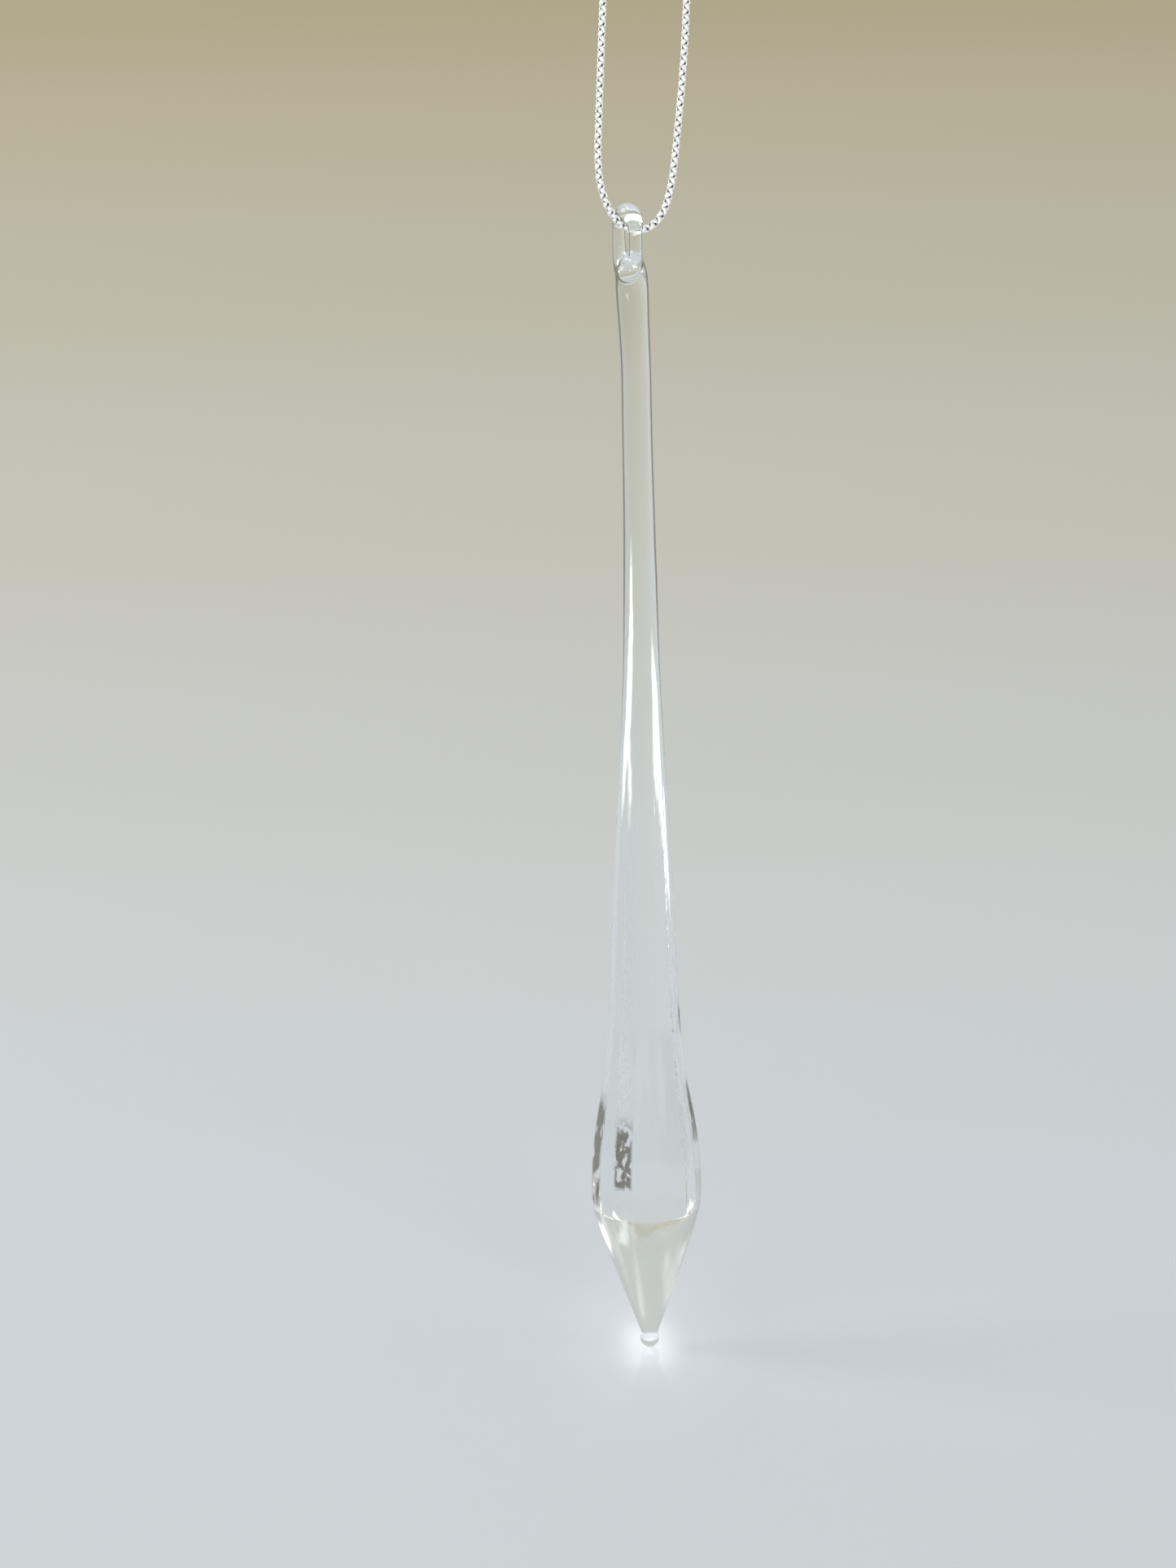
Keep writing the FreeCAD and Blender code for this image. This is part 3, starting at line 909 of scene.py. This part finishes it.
def floor_material():
    """Pale paper, cool near the object and warmer far behind it, with painted shade darkening it from about 0.3 to
    0.7 m behind.
    """
    made, tree, shader = material("pale_paper")
    shader.inputs["Roughness"].default_value = 0.8
    shader.inputs["Specular IOR Level"].default_value = 0.1
    place = node(tree, "ShaderNodeTexCoord").outputs["Object"]
    turned = moved(tree, place, rotation=(0, 0, -AZIMUTH))
    near, far = PAPER[0][0], PAPER[-1][0]
    colour = node(tree, "ShaderNodeValToRGB")
    ramp = colour.color_ramp
    ramp.interpolation = "EASE"
    for i, (at, shade) in enumerate(PAPER):
        position = (at - near) / (far - near)
        element = ramp.elements[0] if i == 0 else ramp.elements.new(position)
        element.position = position
        element.color = (*(PAPER_GAIN * value for value in shade), 1)
    ramp.elements.remove(ramp.elements[-1])
    behind = spanned(tree, parts_of(tree, turned)["Y"], near, far, kind="LINEAR")
    tree.links.new(behind, colour.inputs["Fac"])

    def patch(across, behind, reach_across, reach_behind):
        """1 in the middle of an oval patch of floor, 0 outside it; in metres."""
        from_middle = vector_of(tree, "SUBTRACT", turned, (across, behind, 0))
        shrunk = vector_of(tree, "MULTIPLY", from_middle, (1 / reach_across, 1 / reach_behind, 0))
        return spanned(tree, vector_of(tree, "LENGTH", shrunk), 1.0, 0.55)

    # Painted shade and painted light that only the glass sees: dark patches in the floor's colour and glowing
    # patches on it, standing for the dark and bright cards a photographer would set round clear glass.
    seen = node(tree, "ShaderNodeLightPath").outputs["Is Transmission Ray"]
    dark = reckoned(tree, "MAXIMUM", patch(0.0, -0.028, 0.055, 0.022), patch(0.019, 0.017, 0.016, 0.014))
    painted_glow = reckoned(tree, "MAXIMUM", patch(0.125, 0.21, 0.04, 0.10), patch(-0.125, 0.16, 0.04, 0.10))
    dark, painted_glow = (reckoned(tree, "MULTIPLY", card, seen) for card in (dark, painted_glow))
    paper = mixed_colour(tree, dark, colour.outputs["Color"], (0.10, 0.095, 0.075, 1))
    tree.links.new(paper, shader.inputs["Base Color"])
    # Painted light: the bright patches glow, though no lamp is there.
    shader.inputs["Emission Color"].default_value = (1, 1, 0.98, 1)
    tree.links.new(painted_glow, shader.inputs["Emission Strength"])
    return made


def add_floor():
    """A plain wide floor just under the tip."""
    corners = [(x * FLOOR_REACH, y * FLOOR_REACH, FLOOR_Z) for x, y in ((-1, -1), (1, -1), (1, 1), (-1, 1))]
    floor = new_mesh("floor", corners, [(0, 1, 2, 3)], shaded=False)
    floor.data.materials.append(floor_material())


def add_lamp(name, kind, place, target, power):
    """A lamp at a place, facing a target, in millimetres; its data are returned for the rest of its settings."""
    data = bpy.data.lights.new(name, kind)
    data.energy = power
    lamp = bpy.data.objects.new(name, data)
    turn = (Vector(place) - Vector(target)).to_track_quat("Z", "Y").to_matrix().to_4x4()
    lamp.matrix_world = Matrix.Translation(Vector(place) * MM) @ turn
    bpy.context.scene.collection.objects.link(lamp)
    return data


def add_area(name, place, target, side, power, colour=(1, 1, 1)):
    """A soft square lamp."""
    data = add_lamp(name, "AREA", place, target, power)
    data.shape = "RECTANGLE"
    data.size = data.size_y = side * MM
    data.color = colour


def add_beam(name, place, target, power, degrees, size):
    """A narrow soft beam."""
    data = add_lamp(name, "SPOT", place, target, power)
    data.spot_size = math.radians(degrees)
    data.spot_blend = 1.0
    data.shadow_soft_size = size * MM


def add_world():
    """A plain soft room: pale overhead and beyond the object, dimmer low down at the sides."""
    world = bpy.data.worlds.new("studio")
    world.use_nodes = True
    tree = world.node_tree
    background = next(item for item in tree.nodes if item.type == "BACKGROUND")
    place = node(tree, "ShaderNodeTexCoord").outputs["Generated"]
    parts = parts_of(tree, moved(tree, place, rotation=(0, 0, -AZIMUTH)))
    beyond = spanned(tree, parts["Y"], 0.35, 0.9)
    high = spanned(tree, parts["Z"], 0.1, 0.7)
    pale = reckoned(tree, "MAXIMUM", beyond, high)
    shade = mixed_colour(tree, pale, (0.46, 0.47, 0.45, 1), (0.55, 0.58, 0.56, 1))
    tree.links.new(shade, background.inputs["Color"])
    bpy.context.scene.world = world


MIDDLE = (0.0, 0.0, -110.0)
EYE = Vector((0.0, 0.0, BEND_Z))
TOWARDS_WINDOW = Vector((-0.633, 0.591, 0.5))
add_floor()
add_world()
add_area("window", EYE + TOWARDS_WINDOW * 1500, EYE, 850, 11.0, (1.0, 0.99, 0.97))
add_area("fill", (-300, -1300, 900), MIDDLE, 500, 6.0)
# The floor round the tip, where the glass gathers the daylight
add_beam("pool", (230, 328, FLOOR_Z + 150), (0.5, 1.0, FLOOR_Z), 6.0, 1.2, 2)
add_beam("pool_edge", (230, 328, FLOOR_Z + 150), (0.5, 1.0, FLOOR_Z), 1.0, 3.4, 4)
add_beam("streak", (-260, 300, FLOOR_Z + 110), (-9.0, 3.0, FLOOR_Z), 0.5, 1.0, 2)
# The cord and the eye, from low in front, so that the light goes on over the floor
add_beam("cord_light", (-500, -1100, -190), (0, 0, -30), 36.0, 7.0, 25)

scene = bpy.context.scene
scene.view_settings.view_transform = "Standard"
scene.cycles.use_denoising = True
scene.cycles.max_bounces = 32
scene.cycles.transmission_bounces = 32
scene.cycles.caustics_refractive = True
scene.cycles.sample_clamp_indirect = 6.0

bpy.context.view_layer.update()
